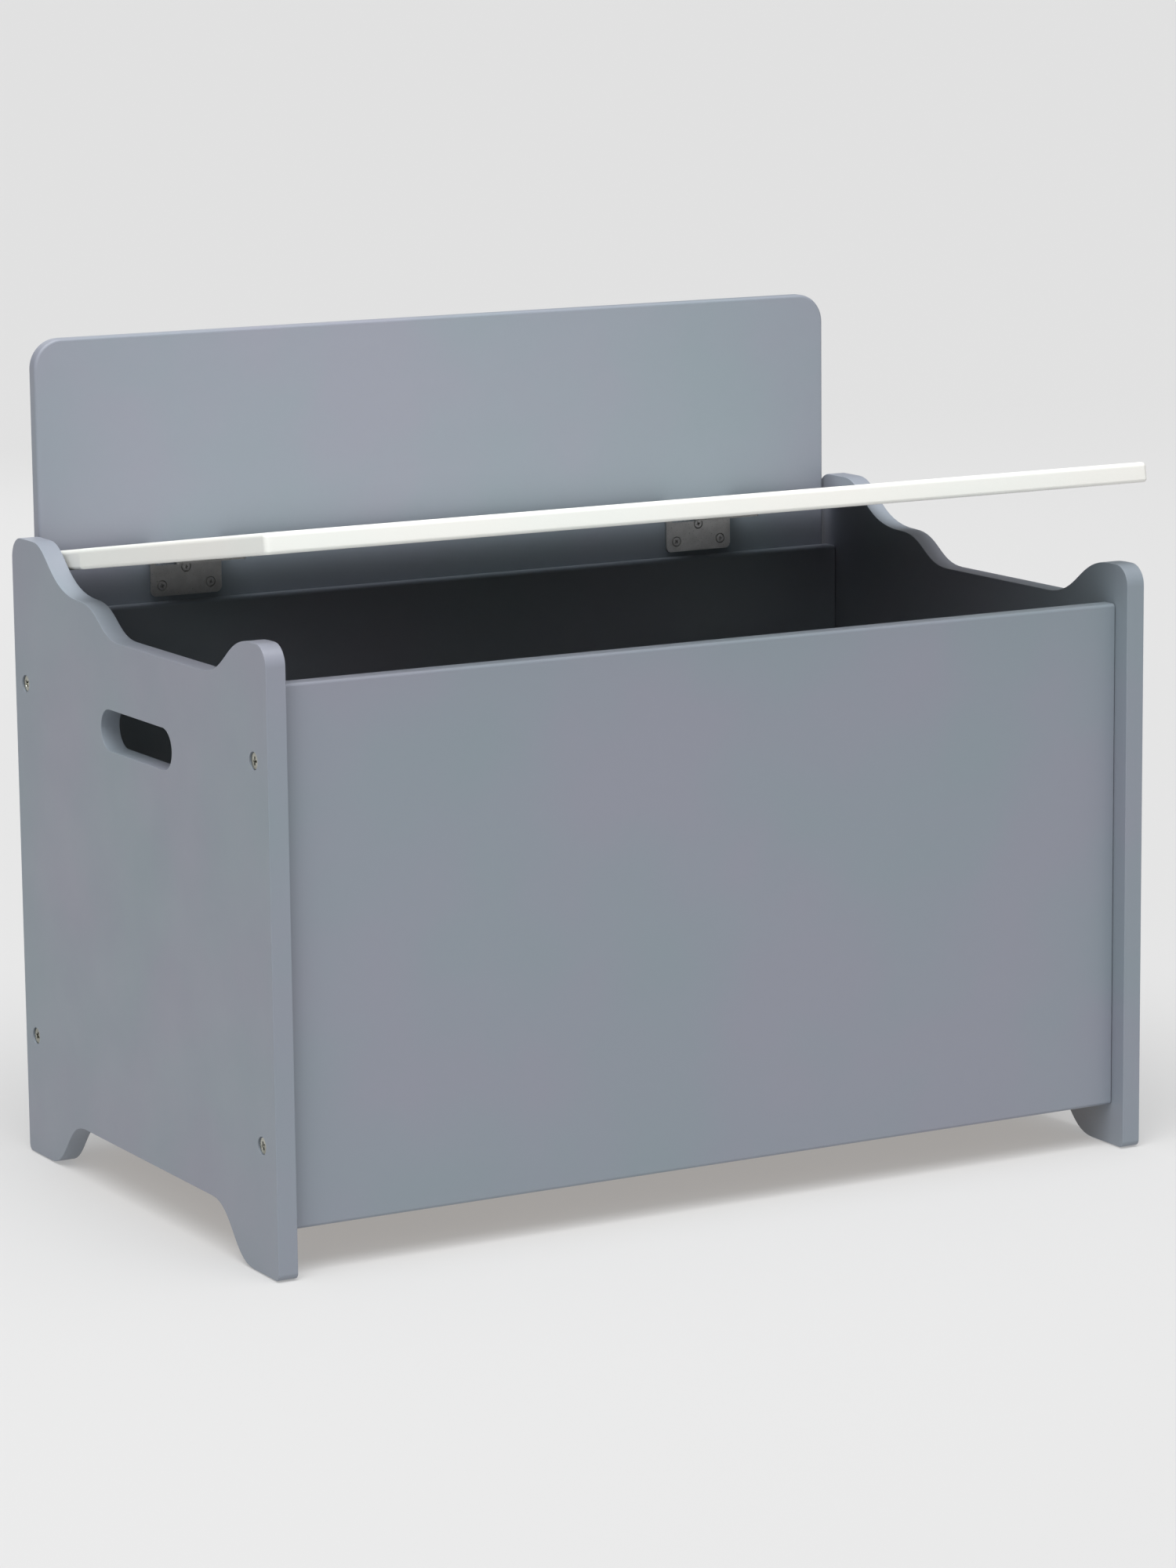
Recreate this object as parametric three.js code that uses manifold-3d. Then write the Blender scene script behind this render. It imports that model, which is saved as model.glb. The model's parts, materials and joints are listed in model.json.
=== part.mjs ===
// Wooden toy box with a backrest and a hinged lid.
// Millimetres, +X to the right, +Y to the back, +Z up, floor at z = 0.
import * as THREE from 'three';
import { mergeVertices } from 'three/addons/utils/BufferGeometryUtils.js';
import Module from 'manifold-3d';

const wasm = await Module();
wasm.setup();

// ---- Driving dimensions ----------------------------------------------------

const WIDTH = 610;              // over the two side panels, and of the lid
const DEPTH = 366;              // side panel, front edge to rear edge
const FRONT = -181;             // y of the side panels' front edges
const REAR = FRONT + DEPTH;
const BOARD = 12.7;             // thickness of sides, front, back and lid
const GAP = 0.3;                // between pieces that touch
const ROUNDING = 2;             // radius on the edges of the boards
const SIDE_ROUNDING = 3;        // and of the side panels

const GLIDE_REVEAL = 0.6;       // how far a foot glide stands below its foot
const ARCH_Z = 32.5;            // underside of a side panel between its feet
const SCOOP_Z = 350;            // low middle of a side panel's top edge
const LEDGE_Z = 369;            // step in front of the rear shoulder
const FRONT_SHOULDER_Z = 375;
const REAR_SHOULDER_Z = 398;
const FOOT_LENGTH = 34;
const FOOT_BEND = 55;           // length of the bend from a foot up to the arch

// Where a side panel's top edge starts and ends its bends, from its front edge back.
const FRONT_SHOULDER_END = 20;
const SCOOP_START = 88;
const SCOOP_END = 205;
const LEDGE = 262;
const REAR_TURN = 309;          // steepest part of the bend up to the rear shoulder
const REAR_SHOULDER_START = 333;

const HANDLE = { length: 103, height: 25.5, z: 294.6 };

const PANEL_BOTTOM = 27;
const PANEL_TOP = SCOOP_Z;
const FRONT_SETBACK = 12.4;     // front panel behind the side panels' front edges
const BACKREST_BOARD = 9.5;
const BACKREST = { width: 580, bottom: 280, top: 521, topRadius: 19, bottomRadius: 6 };

const BATTEN = 15;
const BATTEN_BOTTOM = 30;
const FLOOR_BOARD = 6;

const LID_CLEARANCE = 0.3;      // closed lid above the front shoulders
const LID_OVERHANG = 6.8;       // closed lid in front of the side panels
const NOTCH_GAP = 1.8;          // lid tongue to side panel, in a rear notch
const LID_AJAR = 8.4 * Math.PI / 180;

const HINGE_SPACING = 380;
const HINGE = { width: 50, knuckle: 3.8, pin: 1.5, plate: 1.5, knuckles: 5, knuckleGap: 0.4 };
const HINGE_BACK_PLATE = 31;    // height of the leaf on the backrest, below the axis
const HINGE_LID_PLATE = 36;     // reach of the leaf under the lid, from the axis
const HINGE_PIN_HEAD = { radius: 2.5, length: 1 };

// Screw places on a leaf, from the axis: two far ones and a nearer one in the middle.
const LEAF_SCREW_X = 17;
const BACK_LEAF_SCREWS = { far: -24, near: -13 };
const LID_LEAF_SCREWS = { far: -29, near: -16 };

const SIDE_SCREW = { head: 5, shank: 2, length: 45, sides: 12 };
const BACKREST_SCREW = { head: 4, shank: 1.9, length: 20, sides: 8 };
const BATTEN_SCREW = { head: 3.4, shank: 1.6, length: 24, sides: 8 };
const BACK_LEAF_SCREW = { head: 2.9, shank: 1.3, length: 8, sides: 8 };
const LID_LEAF_SCREW = { head: 2.9, shank: 1.3, length: 10, sides: 8 };
const SCREW_LIP = 0.4;          // straight rim of a screw head

const CROSS_RECESS = { reach: 1.1, width: 0.24, depth: 0.45 };    // times the head's radius

const SIDE_SCREW_Z = { lower: 78.4, upper: 306 };
const BACKREST_SCREW_X = { left: -240, middle: 0, right: 240 };
const BACKREST_SCREW_Z = { lower: 297, upper: 333 };
const BATTEN_SCREW_X = 200;
const BATTEN_SCREW_Y = 90;
const DOWEL = { radius: 3, length: 28, inSide: 8, z: 192, chamfer: 0.6, sides: 10 };
const GLIDE = { radius: 5, height: 2, spike: 1.2, spikeLength: 10, chamfer: 0.6, sides: 12 };
const GLIDE_INSET = 19;         // glide centre from a side panel's front or rear edge

// ---- Places worked out from them -------------------------------------------

const INNER_X = WIDTH / 2 - BOARD;
const FRONT_PANEL_Y = FRONT + FRONT_SETBACK;
const BACKREST_Y = REAR - BACKREST_BOARD;
const BACK_PANEL_Y = BACKREST_Y - GAP - BOARD;
const INSIDE_FRONT_Y = FRONT_PANEL_Y + BOARD;
const FRONT_FIXING_Y = FRONT_PANEL_Y + BOARD / 2;
const BACK_FIXING_Y = BACK_PANEL_Y + BOARD / 2;
const FLOOR_Z = BATTEN_BOTTOM + BATTEN + GAP;

const LID_UNDER_Z = FRONT_SHOULDER_Z + LID_CLEARANCE;
const LID_TOP_Z = LID_UNDER_Z + BOARD;
const AXIS_TO_BACKREST = HINGE.knuckle + 0.5;
const AXIS_Y = BACKREST_Y - AXIS_TO_BACKREST;
const AXIS_Z = LID_TOP_Z - AXIS_TO_BACKREST + GAP;
const STRAP_FACE = HINGE.knuckle + GAP + 0.05;
const LID_REAR = -(STRAP_FACE + HINGE.plate + GAP);

// ---- Materials --------------------------------------------------------------

const greyPaint = () => new THREE.MeshStandardMaterial({ color: 0x878d99, roughness: 0.45 });
const whitePaint = () => new THREE.MeshStandardMaterial({ color: 0xf1f2ec, roughness: 0.4 });
const bareWood = () => new THREE.MeshStandardMaterial({ color: 0xcfae82, roughness: 0.7 });
const fibreboard = () => new THREE.MeshStandardMaterial({ color: 0xa98a66, roughness: 0.8 });
const screwSteel = () => new THREE.MeshStandardMaterial({ color: 0xb9b29b, roughness: 0.35, metalness: 1 });
const hingeSteel = () => new THREE.MeshStandardMaterial({ color: 0xb4b6b8, roughness: 0.3, metalness: 1 });
const nylon = () => new THREE.MeshStandardMaterial({ color: 0x3a3c40, roughness: 0.6 });

// ---- Solids -----------------------------------------------------------------

function toSolid(geometry) {
  const bare = geometry.clone();
  bare.deleteAttribute('normal');
  bare.deleteAttribute('uv');
  const merged = mergeVertices(bare, 1e-3);
  return new wasm.Manifold(new wasm.Mesh({
    numProp: 3,
    vertProperties: new Float32Array(merged.attributes.position.array),
    triVerts: new Uint32Array(merged.index.array),
  }));
}

function toGeometry(solid) {
  const mesh = solid.getMesh();
  const geometry = new THREE.BufferGeometry();
  geometry.setAttribute('position', new THREE.BufferAttribute(mesh.vertProperties, 3));
  geometry.setIndex(new THREE.BufferAttribute(mesh.triVerts, 1));
  geometry.computeVertexNormals();
  return geometry;
}

function cut(geometry, cutters) {
  return toGeometry(cutters.reduce((solid, cutter) => solid.subtract(toSolid(cutter)), toSolid(geometry)));
}

function join(geometries) {
  return toGeometry(geometries.map(toSolid).reduce((sum, solid) => sum.add(solid)));
}

// A box from its low corner to its high corner.
function block(low, high) {
  const size = high.map((value, i) => value - low[i]);
  const geometry = new THREE.BoxGeometry(...size);
  return geometry.translate(...low.map((value, i) => value + size[i] / 2));
}

// A turned shape about local Z, from [radius, z] points that start and end on the axis.
// They may run up or down: the lathe needs them to run up, to face outwards.
function turned(profile, sides) {
  const upward = profile.at(-1)[1] > profile[0][1] ? profile : profile.toReversed();
  const points = upward.map(([radius, z]) => new THREE.Vector2(radius, z));
  return new THREE.LatheGeometry(points, sides).rotateX(Math.PI / 2);
}

// A tube about local X, from x0 to x1.
function tube(inner, outer, x0, x1, sides) {
  const ring = [[inner, x0], [outer, x0], [outer, x1], [inner, x1], [inner, x0]];
  const points = ring.map(([radius, x]) => new THREE.Vector2(radius, x));
  return new THREE.LatheGeometry(points, sides).rotateZ(-Math.PI / 2);
}

// Turns a geometry whose working direction is local -Z to point `into`, and moves it to `at`.
function aim(geometry, at, into) {
  const down = new THREE.Vector3(0, 0, -1);
  const turn = new THREE.Quaternion().setFromUnitVectors(down, new THREE.Vector3(...into));
  return geometry.applyQuaternion(turn).translate(...at);
}

// A closed outline through [u, v, radius] corners, listed counter-clockwise.
function roundedOutline(corners) {
  const shape = new THREE.Shape();
  corners.forEach(([u, v, radius], i) => {
    const corner = new THREE.Vector2(u, v);
    const before = new THREE.Vector2(...corners.at(i - 1)).sub(corner).normalize();
    const after = new THREE.Vector2(...corners[(i + 1) % corners.length]).sub(corner).normalize();
    const half = Math.acos(before.dot(after)) / 2;
    const centre = before.clone().add(after).setLength(radius / Math.sin(half)).add(corner);
    const start = before.multiplyScalar(radius / Math.tan(half)).add(corner).sub(centre);
    const end = after.multiplyScalar(radius / Math.tan(half)).add(corner).sub(centre);
    const turnsLeft = start.cross(end) > 0;
    shape.absarc(centre.x, centre.y, radius, start.angle(), end.angle(), !turnsLeft);
  });
  return shape;
}

// A board of the given thickness with rounded edges, flat on local z = 0.
function board(shape, thickness, curveSegments = 5, rounding = ROUNDING) {
  const geometry = new THREE.ExtrudeGeometry(shape, {
    depth: thickness - 2 * rounding,
    bevelThickness: rounding,
    bevelSize: rounding,
    bevelOffset: -rounding,
    bevelSegments: 1,
    curveSegments,
  });
  return geometry.translate(0, 0, rounding);
}

// Stands a board drawn as (y, z) so that its thickness runs along +X.
function standSideways(geometry) {
  const basis = new THREE.Matrix4().makeBasis(
    new THREE.Vector3(0, 1, 0), new THREE.Vector3(0, 0, 1), new THREE.Vector3(1, 0, 0));
  return geometry.applyMatrix4(basis);
}

// Stands a board drawn as (x, z) so that its thickness runs along +Y.
function standFacing(geometry, thickness) {
  return geometry.translate(0, 0, -thickness).rotateX(Math.PI / 2);
}

// ---- Screws, dowels and the holes for them ----------------------------------

// A countersunk screw: head flush with local z = 0, point down -Z.
function screwProfile({ head, shank, length }, grow) {
  const neck = -SCREW_LIP - (head - shank);
  return [
    [0, grow > 0 ? 1 : 0],
    [head + grow, grow > 0 ? 1 : 0],
    [head + grow, -SCREW_LIP],
    [shank + grow, neck],
    [shank + grow, -length + shank * 1.5],
    [0, -length - grow],
  ];
}

function screw(size) {
  const body = turned(screwProfile(size, 0), size.sides);
  const [reach, width, depth] = Object.values(CROSS_RECESS).map((ratio) => ratio * size.head);
  const arm = new THREE.BoxGeometry(reach, width, 2 * depth);
  return cut(body, [arm, arm.clone().rotateZ(Math.PI / 2)]);
}

const screwHole = (size) => turned(screwProfile(size, GAP), size.sides);

function place(name, geometry, material) {
  const mesh = new THREE.Mesh(geometry, material);
  mesh.name = name;
  return mesh;
}

// Each fixing has a name, a screw size, the centre of its head and its direction.
const sideScrews = [];
const dowels = [];
for (const [side, sign] of [['left', -1], ['right', 1]]) {
  for (const [end, y] of [['front', FRONT_FIXING_Y], ['back', BACK_FIXING_Y]]) {
    for (const [level, z] of Object.entries(SIDE_SCREW_Z)) {
      const name = `${side}_${end}_${level}_screw`;
      const at = [sign * WIDTH / 2, y, z];
      sideScrews.push({ name, side, end, size: SIDE_SCREW, at, into: [-sign, 0, 0] });
    }
    const outerEnd = [sign * (INNER_X + DOWEL.inSide), y, DOWEL.z];
    dowels.push({ name: `${side}_${end}_dowel`, side, end, at: outerEnd, into: [-sign, 0, 0] });
  }
}

const backrestScrews = [];
for (const [column, x] of Object.entries(BACKREST_SCREW_X)) {
  for (const [level, z] of Object.entries(BACKREST_SCREW_Z)) {
    const name = `backrest_${column}_${level}_screw`;
    backrestScrews.push({ name, size: BACKREST_SCREW, at: [x, REAR, z], into: [0, -1, 0] });
  }
}

const BATTEN_SCREW_Z = BATTEN_BOTTOM + BATTEN / 2;
const battenScrews = [];
for (const [hand, sign] of [['left', -1], ['right', 1]]) {
  const x = sign * BATTEN_SCREW_X;
  const frontFace = INSIDE_FRONT_Y + GAP + BATTEN;
  const backFace = BACK_PANEL_Y - GAP - BATTEN;
  battenScrews.push(
    { name: `front_batten_${hand}_screw`, on: 'front', size: BATTEN_SCREW,
      at: [x, frontFace, BATTEN_SCREW_Z], into: [0, -1, 0] },
    { name: `back_batten_${hand}_screw`, on: 'back', size: BATTEN_SCREW,
      at: [x, backFace, BATTEN_SCREW_Z], into: [0, 1, 0] });
  for (const [end, y] of [['front', -BATTEN_SCREW_Y], ['back', BATTEN_SCREW_Y]]) {
    battenScrews.push({ name: `${hand}_batten_${end}_screw`, on: hand, size: BATTEN_SCREW,
      at: [sign * (INNER_X - GAP - BATTEN), y, BATTEN_SCREW_Z], into: [sign, 0, 0] });
  }
}

const holesFor = (fixings) => fixings.map(({ size, at, into }) => aim(screwHole(size), at, into));

const dowelHolesFor = (list) => list.map(({ at, into }) => {
  const start = at.map((value, i) => value - into[i] * GAP);
  const hole = turned([[0, 0], [DOWEL.radius + GAP, 0], [DOWEL.radius + GAP, -DOWEL.length - 2 * GAP],
    [0, -DOWEL.length - 2 * GAP]], DOWEL.sides);
  return aim(hole, start, into);
});

// ---- Side panels ------------------------------------------------------------

// An S-shaped bend, level at both ends, from the shape's current point.
function bend(shape, fromZ, toY, toZ, turnY = (shape.currentPoint.x + toY) / 2) {
  shape.bezierCurveTo(turnY, fromZ, turnY, toZ, toY, toZ);
}

function sidePanelShape() {
  const foot = GLIDE_REVEAL;
  const footRadius = 4;
  const frontRadius = 13;
  const rearRadius = 14;
  const shape = new THREE.Shape();
  shape.moveTo(footRadius, foot);
  shape.lineTo(FOOT_LENGTH, foot);
  bend(shape, foot, FOOT_LENGTH + FOOT_BEND, ARCH_Z);
  shape.lineTo(DEPTH - FOOT_LENGTH - FOOT_BEND, ARCH_Z);
  bend(shape, ARCH_Z, DEPTH - FOOT_LENGTH, foot);
  shape.absarc(DEPTH - footRadius, foot + footRadius, footRadius, -Math.PI / 2, 0);
  shape.absarc(DEPTH - rearRadius, REAR_SHOULDER_Z - rearRadius, rearRadius, 0, Math.PI / 2);
  shape.lineTo(REAR_SHOULDER_START, REAR_SHOULDER_Z);
  bend(shape, REAR_SHOULDER_Z, LEDGE, LEDGE_Z, REAR_TURN);
  bend(shape, LEDGE_Z, SCOOP_END, SCOOP_Z);
  shape.lineTo(SCOOP_START, SCOOP_Z);
  bend(shape, SCOOP_Z, FRONT_SHOULDER_END, FRONT_SHOULDER_Z);
  shape.absarc(frontRadius, FRONT_SHOULDER_Z - frontRadius, frontRadius, Math.PI / 2, Math.PI);
  shape.absarc(footRadius, foot + footRadius, footRadius, Math.PI, 1.5 * Math.PI);
  shape.holes.push(handleSlot());
  return shape;
}

function handleSlot() {
  const radius = HANDLE.height / 2;
  const reach = HANDLE.length / 2 - radius;
  const slot = new THREE.Path();
  slot.absarc(DEPTH / 2 + reach, HANDLE.z, radius, -Math.PI / 2, Math.PI / 2);
  slot.absarc(DEPTH / 2 - reach, HANDLE.z, radius, Math.PI / 2, 1.5 * Math.PI);
  return slot;
}

const FOOT_GLIDES = [['front', FRONT + GLIDE_INSET], ['back', REAR - GLIDE_INSET]];

function sidePanel(side, sign) {
  const panel = standSideways(board(sidePanelShape(), BOARD, 6, SIDE_ROUNDING));
  const x = sign < 0 ? -WIDTH / 2 : INNER_X;
  panel.translate(x, FRONT, 0);
  const glideHoles = FOOT_GLIDES.map(([, y]) => glideHole(sign * (WIDTH - BOARD) / 2, y));
  return cut(panel, [
    ...holesFor(sideScrews.filter((fixing) => fixing.side === side)),
    ...dowelHolesFor(dowels.filter((dowel) => dowel.side === side)),
    ...holesFor(battenScrews.filter((fixing) => fixing.on === side)),
    ...glideHoles,
  ]);
}

// ---- Front, back and backrest -----------------------------------------------

const halfPanel = INNER_X - GAP;
function uprightPanel(y, end) {
  const corners = [
    [-halfPanel, PANEL_BOTTOM],
    [halfPanel, PANEL_BOTTOM],
    [halfPanel, PANEL_TOP],
    [-halfPanel, PANEL_TOP],
  ];
  const shape = new THREE.Shape(corners.map((corner) => new THREE.Vector2(...corner)));
  const panel = standFacing(board(shape, BOARD), BOARD).translate(0, y, 0);
  return cut(panel, [
    ...holesFor(sideScrews.filter((fixing) => fixing.end === end)),
    ...dowelHolesFor(dowels.filter((dowel) => dowel.end === end)),
    ...holesFor(battenScrews.filter((fixing) => fixing.on === end)),
    ...holesFor(end === 'back' ? backrestScrews : []),
  ]);
}

function backrest() {
  const half = BACKREST.width / 2;
  const shape = roundedOutline([
    [-half, BACKREST.bottom, BACKREST.bottomRadius],
    [half, BACKREST.bottom, BACKREST.bottomRadius],
    [half, BACKREST.top, BACKREST.topRadius],
    [-half, BACKREST.top, BACKREST.topRadius],
  ]);
  const panel = standFacing(board(shape, BACKREST_BOARD), BACKREST_BOARD).translate(0, BACKREST_Y, 0);
  return cut(panel, [...holesFor(backrestScrews), ...holesFor(backLeafScrews)]);
}

// ---- Floor and battens --------------------------------------------------------

function longBatten(end) {
  const y = end === 'front' ? INSIDE_FRONT_Y + GAP : BACK_PANEL_Y - GAP - BATTEN;
  const strip = block([-halfPanel, y, BATTEN_BOTTOM], [halfPanel, y + BATTEN, BATTEN_BOTTOM + BATTEN]);
  return cut(strip, holesFor(battenScrews.filter((fixing) => fixing.on === end)));
}

function shortBatten(side, sign) {
  const inner = sign * (INNER_X - GAP - BATTEN);
  const outer = sign * (INNER_X - GAP);
  const y0 = INSIDE_FRONT_Y + BATTEN + 2 * GAP;
  const y1 = BACK_PANEL_Y - BATTEN - 2 * GAP;
  const strip = block(
    [Math.min(inner, outer), y0, BATTEN_BOTTOM],
    [Math.max(inner, outer), y1, BATTEN_BOTTOM + BATTEN]);
  return cut(strip, holesFor(battenScrews.filter((fixing) => fixing.on === side)));
}

const floorPanel = () => block(
  [-halfPanel, INSIDE_FRONT_Y + GAP, FLOOR_Z],
  [halfPanel, BACK_PANEL_Y - GAP, FLOOR_Z + FLOOR_BOARD]);

// ---- Foot glides --------------------------------------------------------------

// A nylon disc with a spike, seated in a shallow recess under the foot.
function glide() {
  const { radius, height, spike, spikeLength, chamfer, sides } = GLIDE;
  return turned([[0, 0], [radius - chamfer, 0], [radius, chamfer], [radius, height],
    [spike, height], [spike, spikeLength], [0, spikeLength + 1.5]], sides);
}

function glideHole(x, y) {
  const { radius, height, spike, spikeLength, sides } = GLIDE;
  const hole = turned([[0, -1], [radius + GAP, -1], [radius + GAP, height + GAP],
    [spike + GAP, height + GAP], [spike + GAP, spikeLength + 1.5], [0, spikeLength + 2]], sides);
  return hole.translate(x, y, 0);
}

// ---- Hinges -------------------------------------------------------------------

const leafScrews = ({ far, near }) => [[-LEAF_SCREW_X, far], [0, near], [LEAF_SCREW_X, far]];

const HINGES = [['left', -HINGE_SPACING / 2], ['right', HINGE_SPACING / 2]];
const BACK_LEAF_FACE = AXIS_TO_BACKREST - GAP - HINGE.plate;
const LID_LEAF_TOP = LID_UNDER_Z - AXIS_Z - GAP;
const LID_LEAF_FACE = LID_LEAF_TOP - HINGE.plate;

const backLeafScrews = HINGES.flatMap(([hand, x]) => leafScrews(BACK_LEAF_SCREWS).map(([dx, dz], i) => ({
  name: `${hand}_hinge_back_screw_${i + 1}`,
  size: BACK_LEAF_SCREW,
  at: [x + dx, AXIS_Y + BACK_LEAF_FACE, AXIS_Z + dz],
  into: [0, 1, 0],
})));

const lidLeafScrews = HINGES.flatMap(([hand, x]) => leafScrews(LID_LEAF_SCREWS).map(([dx, dy], i) => ({
  name: `${hand}_hinge_lid_screw_${i + 1}`,
  size: LID_LEAF_SCREW,
  at: [x + dx, dy, LID_LEAF_FACE],
  into: [0, 0, 1],
})));

const knucklePitch = HINGE.width / HINGE.knuckles;
const knuckleSpans = Array.from({ length: HINGE.knuckles }, (_, i) => [
  -HINGE.width / 2 + i * knucklePitch + (i > 0 ? HINGE.knuckleGap / 2 : 0),
  -HINGE.width / 2 + (i + 1) * knucklePitch - (i < HINGE.knuckles - 1 ? HINGE.knuckleGap / 2 : 0),
]);
const backKnuckles = knuckleSpans.filter((_, i) => i % 2 === 0);
const lidKnuckles = knuckleSpans.filter((_, i) => i % 2 === 1);
const KNUCKLE_SIDES = 14;
const knuckle = ([x0, x1]) => tube(HINGE.pin + GAP + 0.05, HINGE.knuckle, x0, x1, KNUCKLE_SIDES);

// The leaf on the backrest: a plate below the axis, with a tab up to each of its knuckles.
function backLeaf(x) {
  const half = HINGE.width / 2;
  const plateTop = -HINGE.knuckle - GAP - 0.1;
  const backFace = BACK_LEAF_FACE + HINGE.plate;
  const plate = block([-half, BACK_LEAF_FACE, -HINGE_BACK_PLATE], [half, backFace, plateTop]);
  const tabs = backKnuckles.map(([x0, x1]) => block([x0, BACK_LEAF_FACE, plateTop - 1], [x1, backFace, 0]));
  const leaf = join([plate, ...tabs, ...backKnuckles.map(knuckle)]).translate(x, AXIS_Y, AXIS_Z);
  return cut(leaf, holesFor(backLeafScrews.filter(({ at }) => Math.abs(at[0] - x) < half)));
}

// The leaf under the lid: a plate, cranked up behind the lid's rear edge to its knuckles.
function lidLeaf(x) {
  const half = HINGE.width / 2;
  const plate = block([-half, -HINGE_LID_PLATE, LID_LEAF_FACE], [half, -STRAP_FACE, LID_LEAF_TOP]);
  const strap = block([-half, -STRAP_FACE - HINGE.plate, LID_LEAF_FACE], [half, -STRAP_FACE, 2]);
  const necks = lidKnuckles.map(([x0, x1]) => block([x0, -STRAP_FACE - 0.5, -2], [x1, -HINGE.pin - 1, 2]));
  const leaf = join([plate, strap, ...necks, ...lidKnuckles.map(knuckle)]).translate(x, 0, 0);
  return cut(leaf, holesFor(lidLeafScrews.filter(({ at }) => Math.abs(at[0] - x) < half)));
}

function hingePin(x) {
  const end = HINGE.width / 2 + GAP;
  const { radius, length } = HINGE_PIN_HEAD;
  const profile = [[0, -end - length], [radius, -end - length], [radius, -end], [HINGE.pin, -end],
    [HINGE.pin, end], [radius, end], [radius, end + length], [0, end + length]];
  return turned(profile, KNUCKLE_SIDES).rotateY(Math.PI / 2).translate(x, AXIS_Y, AXIS_Z);
}

// ---- Lid, drawn closed about the hinge axis ------------------------------------

function lid() {
  const half = WIDTH / 2;
  const tongue = INNER_X - NOTCH_GAP;
  const frontY = FRONT - LID_OVERHANG - AXIS_Y;
  const notchY = FRONT + LEDGE - AXIS_Y;
  const cornerRadius = 3;
  const shape = roundedOutline([
    [-half, frontY, cornerRadius],
    [half, frontY, cornerRadius],
    [half, notchY, cornerRadius],
    [tongue, notchY, cornerRadius],
    [tongue, LID_REAR, cornerRadius],
    [-tongue, LID_REAR, cornerRadius],
    [-tongue, notchY, cornerRadius],
    [-half, notchY, cornerRadius],
  ]);
  const panel = board(shape, BOARD, 3).translate(0, 0, LID_UNDER_Z - AXIS_Z);
  return cut(panel, holesFor(lidLeafScrews));
}

// ---- The box ------------------------------------------------------------------

const box = new THREE.Group();
for (const [side, sign] of [['left', -1], ['right', 1]]) {
  box.add(place(`${side}_side_panel`, sidePanel(side, sign), greyPaint()));
  box.add(place(`${side}_batten`, shortBatten(side, sign), bareWood()));
  for (const [end, y] of FOOT_GLIDES) {
    const foot = place(`${side}_${end}_foot_glide`, glide(), nylon());
    foot.position.set(sign * (WIDTH - BOARD) / 2, y, 0);
    box.add(foot);
  }
}
box.add(place('front_panel', uprightPanel(FRONT_PANEL_Y, 'front'), greyPaint()));
box.add(place('back_panel', uprightPanel(BACK_PANEL_Y, 'back'), greyPaint()));
box.add(place('backrest', backrest(), greyPaint()));
box.add(place('floor_panel', floorPanel(), fibreboard()));
box.add(place('front_batten', longBatten('front'), bareWood()));
box.add(place('back_batten', longBatten('back'), bareWood()));

const boxScrews = [...sideScrews, ...backrestScrews, ...battenScrews, ...backLeafScrews];
for (const { name, size, at, into } of boxScrews) {
  const material = size === BACK_LEAF_SCREW ? hingeSteel() : screwSteel();
  box.add(place(name, aim(screw(size), at, into), material));
}
for (const { name, at, into } of dowels) {
  const { radius, length, chamfer, sides } = DOWEL;
  const pin = turned([[0, 0], [radius - chamfer, 0], [radius, -chamfer], [radius, chamfer - length],
    [radius - chamfer, -length], [0, -length]], sides);
  box.add(place(name, aim(pin, at, into), bareWood()));
}

const lidGroup = new THREE.Group();
lidGroup.position.set(0, AXIS_Y, AXIS_Z);
lidGroup.rotation.x = -LID_AJAR;
lidGroup.add(place('lid', lid(), whitePaint()));
for (const { name, size, at, into } of lidLeafScrews) {
  lidGroup.add(place(name, aim(screw(size), at, into), hingeSteel()));
}
for (const [hand, x] of HINGES) {
  box.add(place(`${hand}_hinge_back_leaf`, backLeaf(x), hingeSteel()));
  box.add(place(`${hand}_hinge_pin`, hingePin(x), hingeSteel()));
  lidGroup.add(place(`${hand}_hinge_lid_leaf`, lidLeaf(x), hingeSteel()));
}

const toyBox = new THREE.Group();
toyBox.add(box, lidGroup);
export default toyBox;
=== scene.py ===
"""Wooden toy box with a backrest and a hinged lid.

Every painted board, the floor, the battens, the hinges and the screws are modelled
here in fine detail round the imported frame. Metres, +X right, +Y back, +Z up.
"""
import json
from math import cos, pi, radians, sin

import bpy
from mathutils import Matrix, Vector


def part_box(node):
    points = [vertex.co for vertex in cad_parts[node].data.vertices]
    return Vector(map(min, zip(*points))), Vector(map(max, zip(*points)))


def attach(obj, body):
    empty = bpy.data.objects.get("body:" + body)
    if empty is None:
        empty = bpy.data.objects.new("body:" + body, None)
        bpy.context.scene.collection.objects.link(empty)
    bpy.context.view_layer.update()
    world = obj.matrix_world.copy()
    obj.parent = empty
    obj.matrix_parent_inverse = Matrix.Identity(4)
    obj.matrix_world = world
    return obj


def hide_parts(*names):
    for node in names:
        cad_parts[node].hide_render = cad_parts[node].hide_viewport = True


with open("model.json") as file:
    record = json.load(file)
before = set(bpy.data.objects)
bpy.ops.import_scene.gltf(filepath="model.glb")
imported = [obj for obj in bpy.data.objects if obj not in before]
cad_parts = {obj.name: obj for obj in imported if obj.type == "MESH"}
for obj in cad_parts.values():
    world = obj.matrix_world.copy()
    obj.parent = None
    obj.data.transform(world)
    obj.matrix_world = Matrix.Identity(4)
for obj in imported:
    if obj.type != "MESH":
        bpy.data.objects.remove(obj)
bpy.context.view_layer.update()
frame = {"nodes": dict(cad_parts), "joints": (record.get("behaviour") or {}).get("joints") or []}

MM = 0.001

# ---- Sizes the pieces share ---------------------------------------------------

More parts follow.
